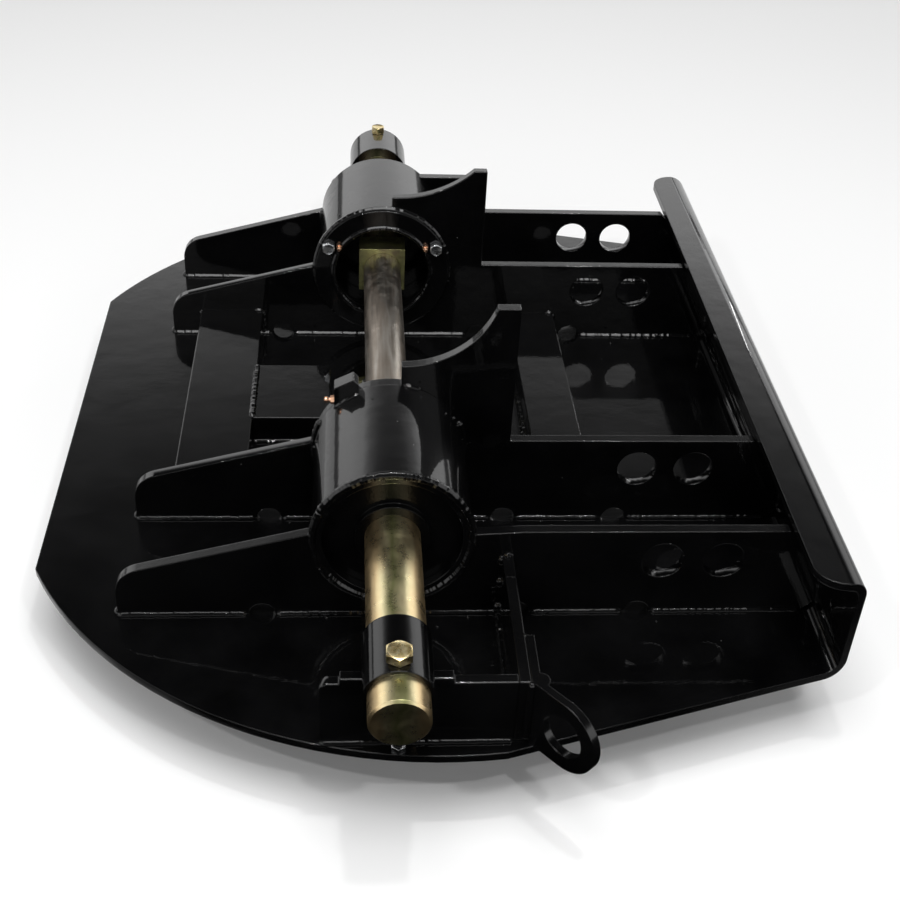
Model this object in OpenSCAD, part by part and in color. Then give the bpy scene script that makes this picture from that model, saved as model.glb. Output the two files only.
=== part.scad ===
// Fifth wheel hitch: the kingpin plate of a trailer, with the trunnion shaft it pitches on.
// Origin: on the kingpin axis, in the underside of the plate. +Z up, shaft along Y. Millimetres.

/* [Plate] */
// Thickness of the bent plate
plate_t = 10; // [8:1:14]
// Distance from the kingpin axis to the straight left edge
left_edge = 425; // [360:5:430]
// Radius of the two bowed sides
bow_r = 536; // [520:1:560]
// Where the bow centres lie along X
bow_x = 57; // [40:1:70]
// How far the near bow centre is from the middle
near_bow = 94; // [80:1:100]
// How far the far bow centre is from the middle
far_bow = 76; // [70:1:100]
// Where the bow ends and the straight taper starts
taper_x = 120; // [110:1:130]
// Half width of the plate at the end wall
wall_half = 509; // [500:1:520]
// Distance from the kingpin axis to the outside of the end wall
wall_x = 518; // [505:1:530]
// Height of the end wall above the plate's top
wall_h = 135; // [130:1:160]
// Width of the wall's return flange
return_w = 58; // [40:1:70]
// Outside radius of the two bends
bend_r = 24; // [18:1:30]

/* [Ribs] */
// Thickness of each rib
rib_t = 13; // [10:1:14]
// Height of each rib above the plate
rib_h = 122; // [116:1:124]
// Distance from the middle to the centre of an inner rib
inner_rib = 226.5; // [215:0.5:240]
// Distance from the middle to the centre of an outer rib
outer_rib = 403.5; // [395:0.5:410]
// Where the ribs start on the left
rib_left = 316; // [300:1:330]
// Height of the rib's blunt left tip
tip_h = 68; // [60:1:75]
// Diameter of the hose holes
hose_d = 50; // [40:1:55]
// Where the first hose hole is
hose_x = 314; // [300:1:330]
// Spacing of the hose holes
hose_gap = 72; // [66:1:80]
// Height of the hose holes above the plate
hose_z = 79; // [70:1:85]
// Radius of the drain notches
notch_r = 15.5; // [10:0.5:18]
// Where a stop horn ends on the right
horn_x = 150; // [140:1:160]
// Height of the near stop horn above the plate
near_horn_h = 309; // [290:1:320]
// Height of the far stop horn above the plate
far_horn_h = 273; // [262:1:290]

/* [Trunnion] */
// Height of the shaft axis above the plate
axis_h = 113; // [110:1:118]
// Diameter of the zinc plated pivot pins
pin_d = 63.5; // [60:0.5:64]
// Diameter of the bare cross shaft
cross_d = 55; // [48:1:57]
// Running clearance on the radius
run_gap = 0.06; // [0.03:0.01:0.09]
// How far the near pin reaches
near_end = 688; // [680:1:700]
// How far the far pin reaches
far_end = 668; // [660:1:690]
// Outside diameter of each barrel
barrel_d = 184; // [180:1:186]
// Wall of each barrel
barrel_wall = 12; // [8:1:16]
// Reach of the barrels from the middle
barrel_end = 412; // [411:1:416]
// Outside diameter of the near collar
near_collar_d = 73; // [72:1:80]
// Outside diameter of the far collar
far_collar_d = 94; // [80:1:96]

/* [Kingpin] */
// Diameter of the kingpin's neck
neck_d = 50.8; // [50.8:0.1:50.8]
// Diameter of the kingpin's head and shoulder
head_d = 71.4; // [71:0.1:73]
// Reach of the kingpin below the plate
kingpin_l = 84; // [82:1:86]

/* [Hidden] */
$fn = 96;
paint = [0.03, 0.03, 0.032];
zinc = [0.72, 0.62, 0.34];
steel = [0.42, 0.39, 0.36];
bright = [0.75, 0.75, 0.74];
copper = [0.78, 0.48, 0.32];
sleeve = [0.07, 0.07, 0.07];

deck = plate_t;
axis_z = deck + axis_h;
wall_in = wall_x - plate_t;
bend_in = bend_r - plate_t;
pin_r = pin_d / 2;
cross_r = cross_d / 2;
bore_r = pin_r + run_gap;
barrel_r = barrel_d / 2;
tube_in = barrel_r - barrel_wall;
inner_face = inner_rib + rib_t / 2;
bay = inner_rib - rib_t / 2;
outer_face = outer_rib + rib_t / 2;
weld_gap = 0.1;
// Half the length of the blank that the bent plate is cut from
blank_half = 700;
corner_back = 27;
// The pins meet the cross shaft inside the barrels
step_y = 262;
sleeve_recess = 13;
sleeve_collar_r = 43;
sleeve_collar_inset = 5;
spigot_r = 18;
spigot_l = 40;
// Keeper bolts: place, size, and the groove that each one rides in
near_bolt_y = 634;
far_bolt_y = 620;
bolt_r = 8;
near_bolt_af = 26;
far_bolt_af = 20;
bolt_head = 11;
groove_w = 18;
groove_depth = 7;
near_collar_y = [572, 653];
far_collar_y = [554, 634];
stand_y = 597;
far_stand_y = 579;
wall_hole_y = 455;
wall_hole_z = 50;
wall_hole_r = 5.5;
corner_r = 33;
// Ribs
tip_r = 34;
notch_x = [-150, 148, 292];
horn_left = 13;
horn_low = 230;
hump_h = 181;
hump_x = 40;
near_curve = [15, 114];
far_curve = [22, 160];
stand_h = 88;
stand_x = [-80, 126];
shoulder_x = 46;
shoulder_w = 26;
shoulder_h = 7;
shoulder_root = 20;
stand_r = 10;
gusset_t = 13;
channel_h = 40;
channel_t = 8;
left_ch = [-272, -180];
right_ch = [196, 265];
// The far barrel's open inner end: a flange round it, and a square block on the shaft inside it
ring_r = 99;
ring_t = 8;
mouth_r = 70;
block_w = 68;
block_y = [218, 258];
far_sleeve_y = 292;
flange_bolt_r = 89;
flange_bolt_angles = [27, 153];
flange_bolt_af = 17;
flange_bolt_h = 8;
flange_shank_r = 5;
nipple_r = 76;
nipple_angles = [33, 147];
nipple_l = 7;
brace_x = [-180, -75];
brace_half = 66;
brace_wall = 10;
brace_r = 14;
kp_flange_r = 70;
kp_flange_t = 16;
kp_bolt_r = 54;
kp_hole_r = 6.5;
kp_bolt_shank_r = 6;
kp_bolt_af = 18;
kp_bolt_h = 8;
kp_chamfer = 3;
shoulder_r = head_d / 2 + 1.8;
shoulder_l = 35;
head_l = 14;
grease_x = [-67, -38];
grease_y = [-242, -222];
grease_low = 204;
grease_top = 216;
grease_soft = 6;
grease_nipple_z = 184;
foot_nut_at = [3, -619];
foot_nut_af = 15;
foot_nut_h = 8;
eye_t = 10;
eye_strap = 66;
eye_hole_r = 26;
eye_reach = 42;
eye_bend_y = 606;
eye_angle = 49;

// A flat plate that stands in the XZ plane, from y to y + t; its outline is drawn as (x, height)
module standing(y, t) {
    translate([0, y + t, 0])
        rotate([90, 0, 0])
            linear_extrude(height = t)
                children();
}

// A round bar along the shaft axis from y0 to y1
module along(y0, y1, r) {
    translate([0, y1, axis_z])
        rotate([90, 0, 0])
            cylinder(h = y1 - y0, r = r);
}

// A hexagonal head, flat to flat af
module hex_head(af, h) {
    cylinder(h = h, d = af / cos(30), $fn = 6);
}

module bow_half(side, bow) {
    intersection() {
        translate([bow_x, side * bow])
            circle(r = bow_r, $fn = 240);
        translate([-left_edge, side > 0 ? 0 : -blank_half])
            square([left_edge + taper_x, blank_half]);
    }
}

// Y of the bow where the straight taper starts
function bow_edge(bow) = bow + sqrt(bow_r * bow_r - pow(taper_x - bow_x, 2));

module plan_outline() {
    bow_half(1, far_bow);
    bow_half(-1, near_bow);
    polygon([
        [taper_x - 1, -bow_edge(near_bow)], [wall_x, -wall_half],
        [wall_x, wall_half], [taper_x - 1, bow_edge(far_bow)]
    ]);
}

// Section of the bent plate: floor, wall and return flange, with two round bends
module bent_section() {
    top = deck + wall_h;
    translate([-left_edge, 0])
        square([left_edge + wall_x - bend_r, plate_t]);
    translate([wall_in, bend_r])
        square([plate_t, top - 2 * bend_r]);
    translate([wall_x - return_w, top - plate_t])
        square([return_w - bend_r, plate_t]);
    bend(bend_r, -1);
    bend(top - bend_r, 1);
}

module bend(z, side) {
    intersection() {
        translate([wall_x - bend_r, z])
            difference() {
                circle(r = bend_r);
                circle(r = bend_in);
            }
        translate([wall_x - bend_r, side > 0 ? z : z - bend_r])
            square([bend_r, bend_r]);
    }
}

module base_plate() {
    color(paint)
        difference() {
            intersection() {
                translate([0, blank_half, 0])
                    rotate([90, 0, 0])
                        linear_extrude(height = 2 * blank_half)
                            bent_section();
                linear_extrude(height = 2 * wall_h)
                    plan_outline();
            }
            translate([0, 0, -1])
                cylinder(h = plate_t + 2, r = shoulder_r + weld_gap);
            kingpin_bolt_places()
                translate([0, 0, -1])
                    cylinder(h = plate_t + 2, r = kp_hole_r);
            for (y = [-wall_hole_y, 0, wall_hole_y])
                translate([wall_in - 1, y, deck + wall_hole_z])
                    rotate([0, 90, 0])
                        cylinder(h = plate_t + 2, r = wall_hole_r);
            for (side = [-1, 1])
                scale_y(side)
                    flange_corner_cut();
        }
}

module scale_y(side) {
    mirror([0, side < 0 ? 1 : 0, 0])
        children();
}

// What is cut from the far corner of the return flange to leave it round
module flange_corner_cut() {
    r = corner_r;
    x = wall_x - return_w;
    y = wall_half - corner_back;
    difference() {
        translate([x - 1, y, deck + wall_h / 2])
            cube([r + 1, 100, wall_h]);
        translate([x + r, y, 0])
            cylinder(h = 2 * wall_h, r = r);
    }
}

// Points along an arc of a rib's outline, from angle a0 to angle a1
function arc(x, z, r, a0, a1, steps = 16) =
    [for (i = [0 : steps]) let (a = a0 + (a1 - a0) * i / steps) [x + r * cos(a), z + r * sin(a)]];

// Outline of a rib: blunt left tip, slope, whatever crosses the barrel, flat top, cut right corner
module rib_outline(crossing) {
    top = deck + rib_h;
    tip = [tip_r - rib_left, deck + tip_h - tip_r];
    corner_x = wall_x - return_w - 2;
    difference() {
        polygon(concat(
            [[-rib_left, deck]],
            arc(tip[0], tip[1], tip_r, 180, 105),
            [[-barrel_r, top - 2]],
            crossing,
            [[horn_x, top], [corner_x, top], [wall_in, top - wall_in + corner_x]],
            [[wall_in, deck + bend_in + 2], [wall_in - bend_in - 2, deck]]
        ));
        for (i = [0, 1])
            translate([hose_x + i * hose_gap, deck + hose_z])
                circle(d = hose_d);
        for (x = notch_x)
            translate([x, deck])
                circle(r = notch_r);
    }
}

// The inner ribs pass round the barrel's end and carry a stop horn with a hollow edge
module inner_rib(y, hole_r, peak, curve_x, curve_r) {
    start = acos(horn_left / barrel_r);
    low = deck + horn_low;
    rise = deck + peak - low;
    sweep = acos((curve_r - rise) / curve_r);
    crossing = concat(
        arc(0, axis_z, barrel_r, 174, start),
        [[horn_left, low]],
        arc(curve_x, low + curve_r, curve_r, 270, 270 + sweep),
        [[horn_x, deck + peak]]
    );
    standing(y, rib_t)
        difference() {
            rib_outline(crossing);
            translate([0, axis_z])
                circle(r = hole_r);
        }
}

// The outer ribs stop at the barrel
module outer_rib(y, crossing) {
    standing(y, rib_t)
        difference() {
            rib_outline(crossing);
            translate([0, axis_z])
                circle(r = barrel_r + weld_gap);
        }
}

module outer_rib_near() {
    color(paint)
        outer_rib(-outer_face, [[0, axis_z]]);
}

module inner_rib_near() {
    color(paint)
        inner_rib(-inner_face, pin_r + 3, near_horn_h, near_curve[0], near_curve[1]);
}

module inner_rib_far() {
    color(paint)
        inner_rib(bay, mouth_r, far_horn_h, far_curve[0], far_curve[1]);
}

module outer_rib_far() {
    hump = deck + hump_h;
    color(paint)
        outer_rib(outer_face - rib_t, [[0, axis_z], [hump_x, hump], [horn_x, hump]]);
}

// An upturned channel across the middle bay
module channel(x) {
    w = x[1] - x[0];
    color(paint)
        standing(-bay, 2 * bay)
            difference() {
                translate([x[0], deck])
                    square([w, channel_h]);
                translate([x[0] + channel_t, deck - 1])
                    square([w - 2 * channel_t, channel_h - channel_t + 1]);
            }
}

module left_channel() {
    channel(left_ch);
}

module right_channel() {
    channel(right_ch);
}

module rounded_box(x, half, r) {
    translate([x[0], -half])
        square([x[1] - x[0] - r, 2 * half]);
    translate([x[0], -half + r])
        square([x[1] - x[0], 2 * half - 2 * r]);
    for (s = [-1, 1])
        translate([x[1] - r, s * (half - r)])
            circle(r = r);
}

module kingpin_brace() {
    color(paint)
        translate([0, 0, deck])
            difference() {
                linear_extrude(height = channel_h)
                    rounded_box(brace_x, brace_half, brace_r);
                translate([0, 0, -1])
                    linear_extrude(height = channel_h - channel_t + 1)
                        rounded_box([brace_x[0] - 1, brace_x[1] - brace_wall], brace_half - brace_wall, brace_r - 6);
                translate([0, 0, -1])
                    cylinder(h = kp_flange_t + 2, r = kp_flange_r + 1);
            }
}

module kingpin_bolt_places() {
    for (a = [22.5 : 45 : 359])
        rotate(a)
            translate([kp_bolt_r, 0, 0])
                children();
}

module kingpin() {
    color(steel)
        difference() {
            union() {
                translate([0, 0, deck])
                    cylinder(h = kp_flange_t, r = kp_flange_r);
                translate([0, 0, -shoulder_l])
                    cylinder(h = shoulder_l + deck, r = shoulder_r);
                translate([0, 0, -kingpin_l])
                    cylinder(h = kingpin_l, r = neck_d / 2);
                translate([0, 0, kp_chamfer - kingpin_l])
                    cylinder(h = head_l - kp_chamfer, r = head_d / 2);
                translate([0, 0, -kingpin_l])
                    cylinder(h = kp_chamfer, r1 = head_d / 2 - kp_chamfer, r2 = head_d / 2);
            }
            kingpin_bolt_places()
                translate([0, 0, deck - 1])
                    cylinder(h = kp_flange_t + 2, r = kp_hole_r);
        }
}

module kingpin_bolts() {
    color(steel)
        kingpin_bolt_places() {
            translate([0, 0, 1])
                cylinder(h = deck + kp_flange_t - 1, r = kp_bolt_shank_r);
            translate([0, 0, deck + kp_flange_t])
                hex_head(kp_bolt_af, kp_bolt_h);
        }
}

module barrel(y0, y1) {
    color(paint)
        difference() {
            along(y0, y1, barrel_r);
            along(y0 - 1, y1 + 1, tube_in);
        }
}

module barrel_near() {
    barrel(-barrel_end, -inner_face);
}

module barrel_far() {
    barrel(inner_face, barrel_end);
}

// A bearing sleeve that fills a barrel from y = start, with a low collar round the pin at its outer end
module bushing(start) {
    color(sleeve)
        difference() {
            union() {
                along(start, barrel_end - sleeve_recess, tube_in - weld_gap / 2);
                along(barrel_end - sleeve_recess - 1, barrel_end - sleeve_collar_inset, sleeve_collar_r);
            }
            along(inner_face, barrel_end, bore_r);
        }
}

module bushing_near() {
    mirror([0, 1, 0])
        bushing(inner_face + 2);
}

module bushing_far() {
    bushing(far_sleeve_y);
}

// Turns its children to angle a round the shaft axis, on the ring flange's face
module on_flange(a, r) {
    translate([0, bay - ring_t, axis_z])
        rotate([90, 0, 0])
            rotate(a)
                translate([r, 0, 0])
                    children();
}

module ring_flange() {
    color(paint)
        difference() {
            along(bay - ring_t, bay, ring_r);
            along(bay - ring_t - 1, bay + 1, mouth_r);
            for (a = flange_bolt_angles)
                on_flange(a, flange_bolt_r)
                    translate([0, 0, -ring_t - 1])
                        cylinder(h = ring_t + 2, r = flange_shank_r + 0.5);
        }
}

module drive_block() {
    color(zinc)
        difference() {
            translate([-block_w / 2, block_y[0], axis_z - block_w / 2])
                cube([block_w, block_y[1] - block_y[0], block_w]);
            along(block_y[0] - 1, block_y[1] + 1, cross_r + 0.02);
        }
}

module flange_bolts() {
    color(bright)
        for (a = flange_bolt_angles)
            on_flange(a, flange_bolt_r) {
                translate([0, 0, -ring_t])
                    cylinder(h = ring_t, r = flange_shank_r);
                hex_head(flange_bolt_af, flange_bolt_h);
            }
}

// A pivot pin from its socketed inner end to its chamfered outer end, with the keeper groove
module pivot_pin(inner, outer, groove) {
    chamfer = 2.5;
    color(zinc)
        difference() {
            union() {
                along(inner, outer - chamfer, pin_r);
                translate([0, outer, axis_z])
                    rotate([90, 0, 0])
                        cylinder(h = chamfer, r1 = pin_r - chamfer, r2 = pin_r);
            }
            along(inner - 1, inner + spigot_l + 1, spigot_r);
            difference() {
                along(groove - groove_w / 2, groove + groove_w / 2, pin_r + 1);
                along(groove - groove_w, groove + groove_w, pin_r - groove_depth);
            }
        }
}

module pivot_pin_near() {
    mirror([0, 1, 0])
        pivot_pin(step_y, near_end, near_bolt_y);
}

module pivot_pin_far() {
    pivot_pin(step_y, far_end, far_bolt_y);
}

module cross_shaft() {
    color(steel) {
        along(-step_y, step_y, cross_r);
        along(-step_y - spigot_l, 1 - step_y, spigot_r - 0.02);
        along(step_y - 1, step_y + spigot_l, spigot_r - 0.02);
    }
}

module collar(span, d, bolt_y) {
    color(paint)
        difference() {
            along(span[0], span[1], d / 2);
            along(span[0] - 1, span[1] + 1, bore_r);
            translate([0, bolt_y, axis_z])
                cylinder(h = d, r = bolt_r + weld_gap);
        }
}

module collar_near() {
    mirror([0, 1, 0])
        collar(near_collar_y, near_collar_d, near_bolt_y);
}

module collar_far() {
    collar(far_collar_y, far_collar_d, far_bolt_y);
}

// A hexagon bolt whose plain end rides in the pin's groove
module keeper_bolt(y, collar_d, af) {
    seat = axis_z + collar_d / 2;
    tip = axis_z + pin_r - groove_depth + 1;
    color(zinc) {
        translate([0, y, tip])
            cylinder(h = seat - tip, r = bolt_r);
        translate([0, y, seat])
            hex_head(af, bolt_head);
    }
}

module keeper_bolt_near() {
    keeper_bolt(-near_bolt_y, near_collar_d, near_bolt_af);
}

module keeper_bolt_far() {
    keeper_bolt(far_bolt_y, far_collar_d, far_bolt_af);
}

// The cradle plate that carries a collar
module stand_plate(y, collar_d) {
    color(paint)
        standing(y, rib_t)
            difference() {
                union() {
                    translate([stand_x[0], deck])
                        square([stand_x[1] - stand_x[0], stand_h - stand_r]);
                    translate([stand_x[0] + stand_r, deck])
                        square([stand_x[1] - stand_x[0] - stand_r, stand_h]);
                    translate([stand_x[0] + stand_r, deck + stand_h - stand_r])
                        circle(r = stand_r);
                    for (s = [-1, 1])
                        translate([s * shoulder_x - shoulder_w / 2, deck + stand_h - shoulder_root])
                            square([shoulder_w, shoulder_root + shoulder_h]);
                }
                translate([0, axis_z])
                    circle(r = collar_d / 2 + weld_gap);
            }
}

module stand_plate_near() {
    stand_plate(-stand_y - rib_t, near_collar_d);
}

module stand_plate_far() {
    stand_plate(far_stand_y, far_collar_d);
}

module gusset(y0, y1) {
    color(paint)
        translate([stand_x[1], y0, deck])
            cube([gusset_t, y1 - y0, stand_h]);
}

module gusset_near() {
    gusset(-stand_y - rib_t, -outer_face);
}

module gusset_far() {
    gusset(outer_face, far_stand_y + rib_t);
}

// A strap beside the near gusset; its end turns out past the plate's edge and carries an eye
module tie_eye() {
    half = stand_h / 2;
    inside = [stand_x[1] + gusset_t + eye_t, -eye_bend_y, 0];
    color(paint)
        translate(inside) {
            translate([-eye_t, 0, deck])
                cube([eye_t, eye_strap, stand_h]);
            translate([0, 0, deck])
                cylinder(h = stand_h, r = eye_t - 0.3);
            rotate([0, 0, -eye_angle])
                standing(-eye_t, eye_t)
                    difference() {
                        union() {
                            translate([0, deck])
                                square([eye_reach, stand_h]);
                            translate([eye_reach, deck + half])
                                circle(r = half);
                        }
                        translate([eye_reach, deck + half])
                            circle(r = eye_hole_r);
                    }
        }
}

// A plain nut on the plate in front of the near stand plate
module foot_nut() {
    color(bright)
        translate([foot_nut_at[0], foot_nut_at[1], deck])
            hex_head(foot_nut_af, foot_nut_h);
}

// Post on the near barrel's inner end that carries a grease fitting
module grease_block() {
    color(paint)
        difference() {
            standing(grease_y[0], grease_y[1] - grease_y[0])
                polygon([
                    [grease_x[0], axis_z], [grease_x[0], deck + grease_low],
                    [grease_x[1] - grease_soft, deck + grease_top],
                    [grease_x[1], deck + grease_top - grease_soft], [grease_x[1], axis_z]
                ]);
            along(grease_y[0] - 1, grease_y[1] + 1, barrel_r);
        }
}

module fitting(len) {
    cylinder(h = len, r = 4.5);
    translate([0, 0, len])
        sphere(r = 5.5, $fn = 32);
}

module grease_fittings() {
    color(copper) {
        translate([grease_x[0], grease_y[0] + nipple_l, deck + grease_nipple_z])
            rotate([0, -90, 0])
                fitting(nipple_l);
        for (a = nipple_angles)
            on_flange(a, nipple_r)
                fitting(nipple_l);
    }
}

base_plate();
outer_rib_near();
inner_rib_near();
inner_rib_far();
outer_rib_far();
left_channel();
right_channel();
kingpin_brace();
kingpin();
kingpin_bolts();
barrel_near();
barrel_far();
bushing_near();
bushing_far();
ring_flange();
drive_block();
flange_bolts();
pivot_pin_near();
pivot_pin_far();
cross_shaft();
collar_near();
collar_far();
keeper_bolt_near();
keeper_bolt_far();
stand_plate_near();
stand_plate_far();
gusset_near();
gusset_far();
tie_eye();
foot_nut();
grease_block();
grease_fittings();
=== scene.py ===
import math
import random

import bpy
from mathutils import Matrix, Vector


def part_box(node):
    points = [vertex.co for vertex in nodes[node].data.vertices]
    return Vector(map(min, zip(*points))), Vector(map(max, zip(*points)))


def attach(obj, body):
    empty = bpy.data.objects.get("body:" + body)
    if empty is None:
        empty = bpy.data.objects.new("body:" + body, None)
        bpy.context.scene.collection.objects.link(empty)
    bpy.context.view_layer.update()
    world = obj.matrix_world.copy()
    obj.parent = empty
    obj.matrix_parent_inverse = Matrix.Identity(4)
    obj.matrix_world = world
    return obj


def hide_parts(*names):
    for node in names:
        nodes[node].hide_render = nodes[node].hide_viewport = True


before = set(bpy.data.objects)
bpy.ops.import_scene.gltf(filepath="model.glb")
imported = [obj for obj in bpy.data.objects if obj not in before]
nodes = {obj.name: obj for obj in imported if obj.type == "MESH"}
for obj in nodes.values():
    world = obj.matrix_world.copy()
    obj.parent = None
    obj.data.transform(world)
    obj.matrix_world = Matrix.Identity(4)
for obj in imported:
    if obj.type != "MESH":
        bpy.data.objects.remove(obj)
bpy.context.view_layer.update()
BODY = "plate"

# ---------------------------------------------------------------- places, all from the frame
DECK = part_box("outer_rib_near")[0].z
SHAFT_LO, SHAFT_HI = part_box("cross_shaft")
AXIS_Z = (SHAFT_LO.z + SHAFT_HI.z) / 2
BARREL_R = (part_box("barrel_near")[1].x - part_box("barrel_near")[0].x) / 2
RIBS = ("outer_rib_near", "inner_rib_near", "inner_rib_far", "outer_rib_far")
RING_LO, RING_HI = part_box("ring_flange")
RING_R = (RING_HI.x - RING_LO.x) / 2

# ---------------------------------------------------------------- sizes, in metres and degrees
# As in the CAD: the ribs' top above the deck and their notches, then bolts and nipples in place
RIB_TOP = 0.122
NOTCHES = (-0.150, 0.148, 0.292)
NOTCH_R = 0.0155
FLANGE_BOLT_R = 0.089
FLANGE_BOLT_ANGLES = (27, 153)
KINGPIN_BOLT_R = 0.054
KINGPIN_BOLTS = 8
NIPPLE_R = 0.076
NIPPLE_ANGLES = (33, 147)
POST_NIPPLE_Y = 0.007
POST_NIPPLE_Z = 0.184

# Bolts and nipples as drawn. FLANGE_BOLT is the size across its flats, the head's height and the
# shank's radius and length. WASHER_FACE is a share of the size across the flats
FLANGE_BOLT = (0.017, 0.008, 0.005, 0.008)
KINGPIN_BOLT_FLATS = 0.018
KINGPIN_SHANK_R = 0.006
KEEPER_SHANK_R = 0.008
WASHER_FACE = 0.47
NUT_TOP_R = 0.0064
POST_NIPPLE_SCALE = 1.15

# Edges, weld beads and drops: radii, the length of a ripple, and how uneven a bead is
SOFT_EDGE = 0.0014
BEAD = 0.0048
THIN_BEAD = BEAD * 0.9
BEAD_STEP = 0.0014
BEAD_SIDES = 8
RIPPLE = 0.0046
SWELL = 0.07
DRIFT = 0.05
DROP_R = (0.0009, 0.0022)

# Where beads and drops lie. A gap is how far a bead stops short of an edge, arcs are in degrees
# from +X, RIM_IN is how far a barrel's end bead lies inside its surface, STITCHES are shares of
# the gusset's height, and a reach is how far drops lie from a face
CORNER_GAP = 0.004
NOTCH_GAP = 0.002
WALL_GAP = 0.018
WALL_BEAD = (0.016, 0.068)
RIM_IN = {"near": 0.0015, "far": 0.008}
INNER_ARC = (155, 385)
PEAK_ARC = (66, 80)
MOUTH_BEAD_R = 0.0725
STITCHES = (0.02, 0.46, 0.84)
STITCH = 0.014
CHANNEL_GAP = 0.006
CHANNEL_TOP_BEAD = 0.012
BRACE_GAP = 0.016
BRACE_IN = 0.001
CAP_GAP = 0.002
STRAP = 0.010
STRAP_GAP = 0.012
POST_MIDDLE = -0.052
RIB_DROPS = 6
RIB_REACH = (0.006, 0.026)
RIB_END = 0.03
BARREL_DROPS = 7
BARREL_REACH = (0.006, 0.03)

# Nodes whose edges stay as the frame has them, because their shapes are mostly round
ROUND = ("barrel", "bushing", "collar", "pivot_pin", "cross_shaft", "kingpin", "ring_flange",
         "foot_nut", "tie_eye")


# ---------------------------------------------------------------- materials
def new_material(name):
    mat = bpy.data.materials.new(name)
    mat.use_nodes = True
    tree = mat.node_tree
    return mat, tree, tree.nodes["Principled BSDF"]


def add(tree, kind, **inputs):
    node = tree.nodes.new(kind)
    for key, value in inputs.items():
        node.inputs[key.replace("_", " ")].default_value = value
    return node


def object_coords(tree, scale):
    coords = tree.nodes.new("ShaderNodeTexCoord")
    mapping = add(tree, "ShaderNodeMapping", Scale=scale)
    tree.links.new(coords.outputs["Object"], mapping.inputs["Vector"])
    return mapping.outputs["Vector"]


def noise(tree, scale, size, detail=2.0, rough=0.5):
    node = add(tree, "ShaderNodeTexNoise", Scale=size, Detail=detail, Roughness=rough)
    tree.links.new(object_coords(tree, scale), node.inputs["Vector"])
    return node.outputs["Fac"]


def ramp(tree, source, stops):
    node = tree.nodes.new("ShaderNodeValToRGB")
    elements = node.color_ramp.elements
    while len(elements) < len(stops):
        elements.new(0.5)
    for element, (position, colour) in zip(elements, stops):
        element.position = position
        element.color = (*colour, 1)
    tree.links.new(source, node.inputs["Fac"])
    return node.outputs["Color"]


def greys(*stops):
    """Stops for a ramp of greys, from (position, level)."""
    return [(position, (level, level, level)) for position, level in stops]


def spread(tree, source, low, high):
    """Stretches a noise over low to high."""
    node = add(tree, "ShaderNodeMapRange", From_Min=0.3, From_Max=0.7, To_Min=low, To_Max=high)
    tree.links.new(source, node.inputs["Value"])
    return node.outputs["Result"]


def bumps(tree, layers, target, edge=0.0):
    """Stacks bump layers, (height source, strength, distance in metres), over a rounded edge."""
    normal = None
    if edge:
        bevel = add(tree, "ShaderNodeBevel", Radius=edge)
        bevel.samples = 4
        normal = bevel.outputs["Normal"]
    for height, strength, distance in layers:
        node = add(tree, "ShaderNodeBump", Strength=strength, Distance=distance)
        tree.links.new(height, node.inputs["Height"])
        if normal is not None:
            tree.links.new(normal, node.inputs["Normal"])
        normal = node.outputs["Normal"]
    for name in target:
        tree.links.new(normal, tree.nodes["Principled BSDF"].inputs[name])


def gloss_paint(name, peel=0.06, dust=True):
    """Black gloss paint: orange peel, faint smudges in the shine, and a few chips and dust nibs."""
    mat, tree, shader = new_material(name)
    links = tree.links
    smudge = noise(tree, (1, 1, 1), 9.0, 4.0, 0.6)
    colour = ramp(tree, smudge, [(0.35, (0.0008, 0.0008, 0.0009)), (0.7, (0.0024, 0.0024, 0.0026))])
    if dust:
        cells = add(tree, "ShaderNodeTexVoronoi", Scale=26.0)
        links.new(object_coords(tree, (1, 1, 1)), cells.inputs["Vector"])
        nib = ramp(tree, cells.outputs["Distance"], [(0.012, (1, 1, 1)), (0.022, (0, 0, 0))])
        pick = ramp(tree, cells.outputs["Color"], [(0.72, (0, 0, 0)), (0.74, (1, 1, 1))])
        both = add(tree, "ShaderNodeMix")
        both.data_type = "RGBA"
        both.blend_type = "MULTIPLY"
        both.inputs[0].default_value = 1.0
        links.new(nib, both.inputs[6])
        links.new(pick, both.inputs[7])
        chips = tree.nodes.new("ShaderNodeMix")
        chips.data_type = "RGBA"
        links.new(both.outputs[2], chips.inputs[0])
        links.new(colour, chips.inputs[6])
        chips.inputs[7].default_value = (0.16, 0.16, 0.155, 1)
        colour = chips.outputs[2]
    links.new(colour, shader.inputs["Base Color"])
    links.new(spread(tree, smudge, 0.22, 0.34), shader.inputs["Roughness"])
    shader.inputs["Specular IOR Level"].default_value = 0.06
    shader.inputs["Coat Weight"].default_value = 1.0
    coat = noise(tree, (1, 1, 1), 22.0, 5.0, 0.65)
    links.new(spread(tree, coat, 0.015, 0.05), shader.inputs["Coat Roughness"])
    fine = noise(tree, (1, 1, 1), 330.0, 1.0)
    sag = noise(tree, (1, 1, 1), 28.0, 2.0)
    bumps(tree, [(fine, peel, 0.0005), (sag, 0.05, 0.004)], ["Normal", "Coat Normal"], 0.002)
    return mat


def across(tree, source, half):
    """Turns a noise into painted highlight bands that run across a bar along X."""
    share = 0.32
    place = tree.nodes.new("ShaderNodeSeparateXYZ")
    tree.links.new(object_coords(tree, (1, 1, 1)), place.inputs[0])
    side = add(tree, "ShaderNodeMapRange", From_Min=-half, From_Max=half, To_Min=0.0,
               To_Max=1 - share)
    tree.links.new(place.outputs["X"], side.inputs["Value"])
    both = tree.nodes.new("ShaderNodeMath")
    both.operation = "MULTIPLY_ADD"
    both.inputs[1].default_value = share
    tree.links.new(source, both.inputs[0])
    tree.links.new(side.outputs["Result"], both.inputs[2])
    return both.outputs[0]


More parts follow.
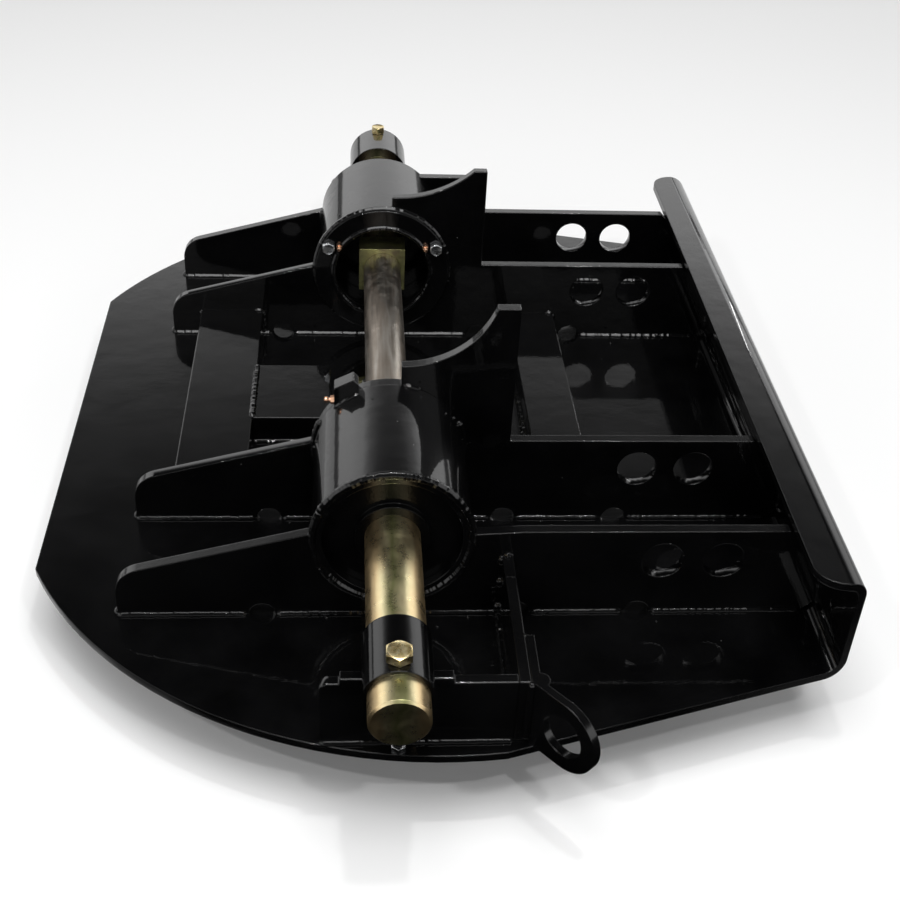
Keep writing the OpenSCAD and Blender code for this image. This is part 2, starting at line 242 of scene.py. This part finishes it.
def plated(name, colours, rough, bands, grain, edge=0.0006, half=0.0):
    """Plated or bare metal: colour bands, blotches in the shine and turning marks."""
    mat, tree, shader = new_material(name)
    links = tree.links
    band = noise(tree, bands, 1.0, 3.0, 0.55)
    # With half, the bands lie across the bar: painted highlight and reflection bands.
    if half:
        band = across(tree, band, half)
    stops = [(0.28 + 0.44 * i / (len(colours) - 1), c) for i, c in enumerate(colours)]
    links.new(ramp(tree, band, stops), shader.inputs["Base Color"])
    shader.inputs["Metallic"].default_value = 1.0
    blotch = noise(tree, (1, 1, 1), 60.0, 5.0, 0.65)
    links.new(spread(tree, blotch, rough[0], rough[1]), shader.inputs["Roughness"])
    marks = noise(tree, grain, 1.0, 2.0, 0.6)
    dents = noise(tree, (1, 1, 1), 240.0, 3.0)
    bumps(tree, [(marks, 0.10, 0.0003), (dents, 0.03, 0.0004)], ["Normal"], edge)
    return mat


PAINT = gloss_paint("gloss_black")
WELD_PAINT = gloss_paint("gloss_black_on_weld", peel=0.05, dust=False)
GOLD = (0.80, 0.60, 0.28)
OLIVE = (0.50, 0.50, 0.22)
ROSE = (0.88, 0.66, 0.36)
STRAW = (0.96, 0.84, 0.50)
DULL = (0.26, 0.22, 0.14)
BROWNS = [(0.12, 0.10, 0.08), (0.27, 0.23, 0.19), (0.38, 0.35, 0.31), (0.18, 0.15, 0.12)]
GREYS = [(0.36, 0.35, 0.34), (0.50, 0.49, 0.47)]
SILVERS = [(0.62, 0.64, 0.66), (0.78, 0.79, 0.80)]
COPPERS = [(0.66, 0.34, 0.20), (0.86, 0.55, 0.38)]
# On the pins, across X: rose at the sides, straw for painted highlights, olive in the middle.
ZINC = plated("yellow_zinc_bar_painted_highlights", [ROSE, STRAW, OLIVE, STRAW, ROSE], rough=(0.24, 0.36),
              bands=(38, 12, 30), grain=(30, 900, 30), half=0.032)
ZINC_SMALL = plated("yellow_zinc_small", [ROSE, STRAW, GOLD, OLIVE], rough=(0.22, 0.36),
                    bands=(160, 160, 160), grain=(90, 90, 900))
ZINC_DULL = plated("yellow_zinc_dull", [DULL, OLIVE, DULL], rough=(0.34, 0.46),
                   bands=(30, 60, 30), grain=(60, 60, 700))
STEEL = plated("bare_shaft", BROWNS, rough=(0.26, 0.48), bands=(60, 5, 60), grain=(420, 7, 420))
MACHINED = plated("machined_steel", GREYS, rough=(0.22, 0.40), bands=(30, 30, 9),
                  grain=(20, 20, 1200))
BRIGHT = plated("bright_zinc", SILVERS, rough=(0.16, 0.34), bands=(160, 160, 160),
                grain=(300, 300, 300))
COPPER = plated("copper_plate", COPPERS, rough=(0.16, 0.30), bands=(180, 180, 180),
                grain=(400, 400, 400))
SLEEVE = gloss_paint("sleeve_satin", peel=0.3, dust=False)
SLEEVE.node_tree.nodes["Principled BSDF"].inputs["Coat Weight"].default_value = 0.35

FINISH = {
    "pivot_pin_near": ZINC, "pivot_pin_far": ZINC, "drive_block": ZINC_DULL,
    "cross_shaft": STEEL, "kingpin": MACHINED, "bushing_near": SLEEVE, "bushing_far": SLEEVE,
}


def soften(obj):
    """Rounds a node's edges: triangles join into flat faces, then sharp edges are bevelled."""
    weld = obj.modifiers.new("weld", "WELD")
    weld.merge_threshold = 1e-5
    flat = obj.modifiers.new("flat", "DECIMATE")
    flat.decimate_type = "DISSOLVE"
    flat.angle_limit = math.radians(0.4)
    edge = obj.modifiers.new("edge", "BEVEL")
    edge.width = SOFT_EDGE
    edge.segments = 2
    edge.limit_method = "ANGLE"
    edge.angle_limit = math.radians(40)
    edge.loop_slide = False
    edge.harden_normals = True


for name, obj in nodes.items():
    obj.data.materials.clear()
    obj.data.materials.append(FINISH.get(name, PAINT))
    if not name.startswith(ROUND) or name == "kingpin_brace":
        soften(obj)


# ---------------------------------------------------------------- mesh helpers
def new_piece(name, verts, faces, material, slot, body=BODY):
    mesh = bpy.data.meshes.new(name)
    mesh.from_pydata(verts, [], faces)
    mesh.materials.append(material)
    mesh.validate()
    for polygon in mesh.polygons:
        polygon.use_smooth = True
    obj = bpy.data.objects.new(name, mesh)
    bpy.context.scene.collection.objects.link(obj)
    mesh.set_sharp_from_angle(angle=math.radians(38))
    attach(obj, body)
    return obj


def turned(profile, origin, axis, flats=0.0, steps=48):
    """Vertices and faces of a turned solid. profile is (radius, height); flats is the size across
    a hexagon's flats, and a radius of None follows that hexagon. The top of a hexagon head is
    chamfered to 30 degrees."""
    turn = Vector((0, 0, 1)).rotation_difference(Vector(axis)).to_matrix()
    verts, faces = [], []
    for radius, height in profile:
        for k in range(steps):
            angle = 2 * math.pi * k / steps
            r = radius
            z = height
            if radius is None:
                r = flats / 2 / math.cos((angle + math.pi / 6) % (math.pi / 3) - math.pi / 6)
                if height > profile[0][1] + 1e-6:
                    z = height - max(0.0, r - flats * WASHER_FACE) * math.tan(math.radians(30))
            spot = Vector((r * math.cos(angle), r * math.sin(angle), z))
            verts.append(Vector(origin) + turn @ spot)
    for ring in range(len(profile) - 1):
        for k in range(steps):
            a, b = ring * steps + k, ring * steps + (k + 1) % steps
            faces.append((a, b, b + steps, a + steps))
    faces.append(tuple(reversed(range(steps))))
    faces.append(tuple(range((len(profile) - 1) * steps, len(profile) * steps)))
    return verts, faces


def joined(parts):
    """Vertices and faces of one mesh, from several."""
    verts, faces = [], []
    for v, f in parts:
        base = len(verts)
        verts += v
        faces += [tuple(i + base for i in face) for face in f]
    return verts, faces


def hex_bolt(origin, axis, flats, height, shank_r, shank_l):
    """A chamfered hexagon head with a washer face under it and a shank that goes below origin."""
    face = tip = 0.0006
    washer = flats * WASHER_FACE
    rim, dish = flats * 0.465, flats * 0.40
    head = turned([(None, face), (None, height), (rim, height), (dish, height - 0.0004)],
                  origin, axis, flats)
    collar = turned([(washer, 0), (washer, face * 1.5)], origin, axis)
    shank = turned([(shank_r * 0.92, -shank_l), (shank_r, tip - shank_l), (shank_r, 0.0002)],
                   origin, axis)
    return [head, collar, shank]


def centred(node):
    """The middle of a node's box, with its lowest and highest corner."""
    lo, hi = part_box(node)
    return (lo + hi) / 2, lo, hi


# ---------------------------------------------------------------- bolts and fittings
for side in ("near", "far"):
    middle, lo, hi = centred("keeper_bolt_" + side)
    seat = AXIS_Z + (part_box("collar_" + side)[1].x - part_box("collar_" + side)[0].x) / 2
    parts = hex_bolt((middle.x, middle.y, seat), (0, 0, 1), hi.y - lo.y, hi.z - seat,
                     KEEPER_SHANK_R, seat - lo.z)
    bolt = new_piece("keeper_bolt_" + side + "_hex", *joined(parts), ZINC_SMALL, "yellow_zinc")
    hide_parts("keeper_bolt_" + side)


def polar(radius, degrees, y):
    """A point on a circle round the shaft axis."""
    angle = math.radians(degrees)
    return Vector((radius * math.cos(angle), y, AXIS_Z + radius * math.sin(angle)))


parts = []
for degrees in FLANGE_BOLT_ANGLES:
    spot = polar(FLANGE_BOLT_R, degrees, RING_LO.y)
    parts += hex_bolt(spot, (0, -1, 0), *FLANGE_BOLT)
flange_bolts = new_piece("flange_bolt_set", *joined(parts), BRIGHT, "bright_zinc")
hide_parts("flange_bolts")

middle, lo, hi = centred("foot_nut")
height = hi.z - lo.z
profile = [(None, 0), (None, height), (NUT_TOP_R, height)]
solid = turned(profile, (middle.x, middle.y, lo.z), (0, 0, 1), hi.y - lo.y)
nut = new_piece("foot_nut_hex", *solid, BRIGHT, "bright_zinc")
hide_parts("foot_nut")

lo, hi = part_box("kingpin_bolts")
kingpin_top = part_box("kingpin")[1].z
parts = []
for k in range(KINGPIN_BOLTS):
    angle = 2 * math.pi * (k + 0.5) / KINGPIN_BOLTS
    spot = (KINGPIN_BOLT_R * math.cos(angle), KINGPIN_BOLT_R * math.sin(angle), kingpin_top)
    parts += hex_bolt(spot, (0, 0, 1), KINGPIN_BOLT_FLATS, hi.z - kingpin_top,
                      KINGPIN_SHANK_R, kingpin_top - lo.z)
kingpin_bolts = new_piece("kingpin_bolt_set", *joined(parts), BRIGHT, "bright_zinc")
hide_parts("kingpin_bolts")


def grease_nipple(origin, axis, scale=1.0):
    """Hexagon foot, thin neck and ball of a grease fitting, drawn in millimetres."""
    s = scale * 0.001
    foot = turned([(None, -2 * s), (None, 4 * s), (3.4 * s, 4 * s)], origin, axis, 8 * s)
    ball = [(2.4, 3.5), (2.4, 6), (3.3, 7.2), (3.5, 8.6), (2.9, 10), (1.2, 10.8)]
    return [foot, turned([(r * s, z * s) for r, z in ball], origin, axis)]


block_lo, block_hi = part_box("grease_block")
spot = (block_lo.x, block_lo.y + POST_NIPPLE_Y, DECK + POST_NIPPLE_Z)
parts = grease_nipple(spot, (-1, 0, 0), POST_NIPPLE_SCALE)
for degrees in NIPPLE_ANGLES:
    parts += grease_nipple(polar(NIPPLE_R, degrees, RING_LO.y), (0, -1, 0))
fittings = new_piece("grease_nipple_set", *joined(parts), COPPER, "copper")
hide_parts("grease_fittings")


# ---------------------------------------------------------------- weld beads
def resampled(points, step):
    """Points along a polyline, step apart."""
    points = [Vector(p) for p in points]
    out = [points[0]]
    for a, b in zip(points, points[1:]):
        count = max(1, round((b - a).length / step))
        out += [a.lerp(b, k / count) for k in range(1, count + 1)]
    return out


def bead(points, size=BEAD, seed=1, closed=False):
    """A weld bead: overlapping ripples along a path, a little uneven in size and place."""
    rng = random.Random(seed)
    path = resampled(points, BEAD_STEP)
    if closed:
        path = path[:-1]
    count = len(path)
    ring = BEAD_SIDES
    verts, faces = [], []
    drift, swell = Vector(), 1.0
    travelled = rng.random() * RIPPLE
    for k, p in enumerate(path):
        ahead = path[(k + 1) % count] if closed or k + 1 < count else p
        behind = path[k - 1] if closed or k > 0 else p
        along = (ahead - behind).normalized()
        travelled += BEAD_STEP
        if travelled > RIPPLE:
            travelled -= RIPPLE
            swell = 1 + rng.uniform(-SWELL, SWELL)
            drift = Vector([rng.uniform(-1, 1) for _ in range(3)]) * size * DRIFT
        phase = travelled / RIPPLE
        wave = 0.96 + 0.05 * math.sin(math.pi * phase)
        radius = size * swell * wave
        if not closed:
            taper = 0.45 + 0.22 * min(k, count - 1 - k)
            radius *= min(1.0, taper)
        side = along.orthogonal().normalized()
        if abs(along.z) < 0.9:
            side = along.cross(Vector((0, 0, 1))).normalized()
        up = side.cross(along).normalized()
        for j in range(ring):
            angle = 2 * math.pi * (j + 0.5) / ring
            verts.append(p + drift + (side * math.cos(angle) + up * math.sin(angle)) * radius)
    for k in range(count if closed else count - 1):
        a, b = k * ring, ((k + 1) % count) * ring
        for j in range(ring):
            i = (j + 1) % ring
            faces.append((a + j, a + i, b + i, b + j))
    if not closed:
        faces.append(tuple(reversed(range(ring))))
        faces.append(tuple(range((count - 1) * ring, count * ring)))
    return verts, faces


def arc_points(y, radius, start, end, steps=64):
    """Points on a circle round the shaft axis, from angle start to end in degrees."""
    return [polar(radius, start + (end - start) * k / steps, y) for k in range(steps + 1)]


def spatter(spots, seed):
    """Small drops of weld metal thrown round a weld."""
    rng = random.Random(seed)
    parts = []
    for spot in spots:
        size = rng.uniform(*DROP_R)
        turns = [math.pi * k / 6 for k in range(1, 6)]
        profile = [(size * math.sin(t), -size * math.cos(t)) for t in turns]
        lean = (rng.uniform(-0.3, 0.3), rng.uniform(-0.3, 0.3), 1)
        parts.append(turned(profile, spot, lean, steps=8))
    return parts


def weld_piece(name, parts):
    new_piece("weld_" + name, *joined(parts), WELD_PAINT, "black_paint")


rng = random.Random(11)
WALL_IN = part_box("outer_rib_near")[1].x
for number, rib in enumerate(RIBS):
    lo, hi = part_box(rib)
    ends = [n + s * (NOTCH_R + NOTCH_GAP) for n in NOTCHES for s in (-1, 1)]
    stops = [lo.x, *ends, WALL_IN - WALL_GAP]
    parts = []
    drops = []
    for face_y in (lo.y, hi.y):
        for k in range(0, len(stops), 2):
            run = [(stops[k], face_y, DECK), (stops[k + 1], face_y, DECK)]
            parts.append(bead(run, seed=100 * number + k))
        upright = [(WALL_IN, face_y, DECK + z) for z in WALL_BEAD]
        parts.append(bead(upright, THIN_BEAD, seed=7 + number))
        outward = -1 if face_y == lo.y else 1
        for _ in range(RIB_DROPS):
            reach = rng.uniform(*RIB_REACH)
            drops.append((rng.uniform(lo.x, hi.x - RIB_END), face_y + outward * reach, DECK))
    parts.append(bead([(lo.x, lo.y, DECK), (lo.x, hi.y, DECK)], seed=40 + number))
    parts += spatter(drops, 60 + number)
    weld_piece(rib, parts)

# out is which corner of a box lies away from the middle bay, and sign is that direction along Y
for side, sign, out in (("near", -1, 0), ("far", 1, 1)):
    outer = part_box("outer_rib_" + side)
    inner_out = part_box("inner_rib_" + side)[out].y
    outer_out, outer_in = outer[out].y, outer[1 - out].y
    rib_top = math.degrees(math.asin((outer[0].z + RIB_TOP - AXIS_Z) / BARREL_R))
    rim_r = BARREL_R - RIM_IN[side]
    parts = [
        bead(arc_points(outer_in, BARREL_R, 180 - rib_top, 360 + rib_top), seed=21),
        bead(arc_points(outer_out, rim_r, 0, 360, 96), BEAD * 1.1, seed=22, closed=True),
        bead(arc_points(inner_out, BARREL_R, *INNER_ARC, 72), seed=23),
        bead(arc_points(inner_out, BARREL_R, *PEAK_ARC, 8), THIN_BEAD, seed=24),
    ]
    drops = []
    for _ in range(BARREL_DROPS):
        angle = rng.uniform(0, 180)
        drops.append(polar(BARREL_R, angle, inner_out + sign * rng.uniform(*BARREL_REACH)))
    parts += spatter(drops, 31)
    weld_piece("barrel_" + side, parts)

    # Stand plate, gusset and collar
    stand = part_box("stand_plate_" + side)
    gusset_lo, gusset_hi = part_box("gusset_" + side)
    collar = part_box("collar_" + side)
    collar_r = (collar[1].x - collar[0].x) / 2
    cut = math.degrees(math.asin((stand[1].z - AXIS_Z) / collar_r))
    parts = []
    for face_y in (stand[0].y, stand[1].y):
        parts.append(bead([(stand[0].x, face_y, DECK), (stand[1].x, face_y, DECK)], seed=51))
        parts.append(bead(arc_points(face_y, collar_r, 180 - cut, 360 + cut), seed=52))
    for face_x in (gusset_lo.x, gusset_hi.x):
        ends = (gusset_lo.y + CORNER_GAP, gusset_hi.y - CORNER_GAP)
        parts.append(bead([(face_x, y, DECK) for y in ends], seed=53))
    stand_in = stand[1 - out].y
    ends = (DECK, gusset_hi.z - CORNER_GAP)
    parts.append(bead([(gusset_lo.x, stand_in, z) for z in ends], seed=54))
    for share in STITCHES:
        low = DECK + share * (gusset_hi.z - DECK)
        parts.append(bead([(gusset_lo.x, outer_out, z) for z in (low, low + STITCH)], seed=55))
    ends = (gusset_lo.x + CAP_GAP, gusset_hi.x)
    parts.append(bead([(x, outer_out, gusset_hi.z) for x in ends], seed=56))
    weld_piece("stand_" + side, parts)

# Ring flange on the far inner rib
rib_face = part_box("inner_rib_far")[0].y
weld_piece("ring", [
    bead(arc_points(rib_face, RING_R, 0, 360, 96), seed=61, closed=True),
    bead(arc_points(RING_LO.y, MOUTH_BEAD_R, 0, 360, 96), BEAD * 0.8, seed=62, closed=True),
])

# Channels and brace
parts = []
for node in ("left_channel", "right_channel"):
    lo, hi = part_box(node)
    for x in (lo.x, hi.x):
        run = [(x, y, DECK) for y in (lo.y + CHANNEL_GAP, hi.y - CHANNEL_GAP)]
        parts.append(bead(run, seed=71))
        for y in (lo.y, hi.y):
            parts.append(bead([(x, y, DECK), (x, y, hi.z)], THIN_BEAD, seed=72))
    for y in (lo.y, hi.y):
        run = [(x, y, hi.z) for x in (hi.x - CHANNEL_TOP_BEAD, hi.x)]
        parts.append(bead(run, THIN_BEAD, seed=73))
channel_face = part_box("left_channel")[1].x
lo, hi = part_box("kingpin_brace")
parts.append(bead([(channel_face, y, hi.z - BRACE_IN) for y in (lo.y, hi.y)], seed=75))
for y in (lo.y, hi.y):
    parts.append(bead([(lo.x, y, DECK), (hi.x - BRACE_GAP, y, DECK)], seed=74))
weld_piece("bay", parts)

# Tie eye strap, which stands against the near gusset
strap_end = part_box("tie_eye")[1]
gusset_lo, gusset_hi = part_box("gusset_near")
strap_in, strap_out = gusset_hi.x, gusset_hi.x + STRAP
weld_piece("tie_eye", [
    bead([(strap_in, strap_end.y, z) for z in (DECK, strap_end.z)], seed=81),
    bead([(strap_out, y, DECK) for y in (strap_end.y, gusset_lo.y + STRAP_GAP)], seed=82),
    bead([(strap_in, gusset_lo.y, z) for z in (DECK + CORNER_GAP, strap_end.z)], seed=83),
])

# Grease post on the near barrel
foot = []
for x in (block_lo.x, POST_MIDDLE, block_hi.x):
    foot.append((x, block_lo.y, AXIS_Z + math.sqrt(BARREL_R ** 2 - x ** 2)))
weld_piece("grease_post", [bead(foot, BEAD * 0.7, seed=91)])


# ---------------------------------------------------------------- stage
def studio_floor():
    """Pale and matt to the camera. Gloss mirrors it dark in front of the part, bright behind."""
    size = 9.0
    floor_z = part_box("kingpin")[0].z
    mesh = bpy.data.meshes.new("floor")
    flat = [(-size, -size), (size, -size), (size, size), (-size, size)]
    mesh.from_pydata([(x, y, floor_z) for x, y in flat], [], [(0, 1, 2, 3)])
    floor = bpy.data.objects.new("floor", mesh)
    bpy.context.scene.collection.objects.link(floor)
    mat, tree, shader = new_material("pale_floor")
    shader.inputs["Base Color"].default_value = (0.86, 0.86, 0.86, 1)
    shader.inputs["Roughness"].default_value = 0.9
    shader.inputs["Specular IOR Level"].default_value = 0.1
    # Glossy rays see this emission in the floor's place: a painted reflection, dark in front,
    # bright behind.
    painted_reflection = tree.nodes.new("ShaderNodeEmission")
    place = tree.nodes.new("ShaderNodeSeparateXYZ")
    coords = tree.nodes.new("ShaderNodeTexCoord")
    tree.links.new(coords.outputs["Object"], place.inputs[0])
    depth = add(tree, "ShaderNodeMapRange", From_Min=-0.62, From_Max=-0.2)
    tree.links.new(place.outputs["Y"], depth.inputs["Value"])
    shade = ramp(tree, depth.outputs["Result"], greys((0.0, 0.002), (1.0, 0.60)))
    tree.links.new(shade, painted_reflection.inputs["Color"])
    path = tree.nodes.new("ShaderNodeLightPath")
    mix = tree.nodes.new("ShaderNodeMixShader")
    tree.links.new(path.outputs["Is Glossy Ray"], mix.inputs[0])
    tree.links.new(shader.outputs[0], mix.inputs[1])
    tree.links.new(painted_reflection.outputs[0], mix.inputs[2])
    tree.links.new(mix.outputs[0], tree.nodes["Material Output"].inputs["Surface"])
    mesh.materials.append(mat)


def studio_world():
    """Plain to the camera. Gloss mirrors a thin dark horizon, a bright band and a dark top."""
    world = bpy.data.worlds.new("studio")
    bpy.context.scene.world = world
    world.use_nodes = True
    tree = world.node_tree
    coords = tree.nodes.new("ShaderNodeTexCoord")
    split = tree.nodes.new("ShaderNodeSeparateXYZ")
    tree.links.new(coords.outputs["Generated"], split.inputs[0])
    shade = ramp(tree, split.outputs["Z"], greys(
        (0.0, 0.05), (0.05, 0.06), (0.08, 0.70), (0.30, 0.85), (0.44, 0.80), (0.50, 0.36),
        (0.56, 0.11), (0.62, 0.025), (0.70, 0.004), (1.0, 0.004),
    ))
    background = tree.nodes["Background"]
    path = tree.nodes.new("ShaderNodeLightPath")
    seen = tree.nodes.new("ShaderNodeMix")
    seen.data_type = "RGBA"
    seen.inputs[7].default_value = (0.62, 0.62, 0.62, 1)
    tree.links.new(path.outputs["Is Camera Ray"], seen.inputs[0])
    tree.links.new(shade, seen.inputs[6])
    tree.links.new(seen.outputs[2], background.inputs["Color"])
    background.inputs["Strength"].default_value = 1.5


def area_light(name, place, target, size, power, height=0.0):
    """A square light, or with a height an upright rectangle, that faces the target."""
    data = bpy.data.lights.new(name, "AREA")
    data.size = size
    if height:
        data.shape = "RECTANGLE"
        data.size_y = height
    data.energy = power
    lamp = bpy.data.objects.new(name, data)
    bpy.context.scene.collection.objects.link(lamp)
    lamp.location = place
    lamp.rotation_euler = (Vector(target) - Vector(place)).to_track_quat("-Z", "Y").to_euler()


def photo_camera():
    """In front of the near pin, looking down on the plate, turned a little right and tipped."""
    place = Vector((-0.0504, -1.5870, 1.0986 + DECK))
    pitch, yaw, roll = math.radians(36.071), math.radians(5.322), math.radians(3.228)
    ahead = math.cos(pitch)
    forward = Vector((ahead * math.sin(yaw), ahead * math.cos(yaw), -math.sin(pitch)))
    level = Vector((math.cos(yaw), -math.sin(yaw), 0))
    above = level.cross(forward)
    right = math.cos(roll) * level + math.sin(roll) * above
    up = math.cos(roll) * above - math.sin(roll) * level
    data = bpy.data.cameras.new("camera")
    data.sensor_width = 36
    data.lens = 54.29
    camera = bpy.data.objects.new("camera", data)
    bpy.context.scene.collection.objects.link(camera)
    turn = Matrix((right, up, -forward)).transposed()
    camera.matrix_world = Matrix.Translation(place) @ turn.to_4x4()
    bpy.context.scene.camera = camera


studio_floor()
studio_world()
area_light("overhead", (0, -0.8, 5.0), (0, 0, 0), size=4.0, power=230)
for name, place in (
    ("glint_left", (-1.3, -1.9, 2.6)),
    ("glint_right", (0.9, -2.1, 2.9)),
    ("glint_back", (0.3, -0.3, 3.2)),
):
    area_light(name, place, (0, 0, 0.1), size=0.12, power=12)
area_light("strip", (2.03, 2.95, 1.25), (0, -0.3, 0.12), size=0.05, power=2.5, height=1.2)
photo_camera()
bpy.context.scene.view_settings.view_transform = "Standard"
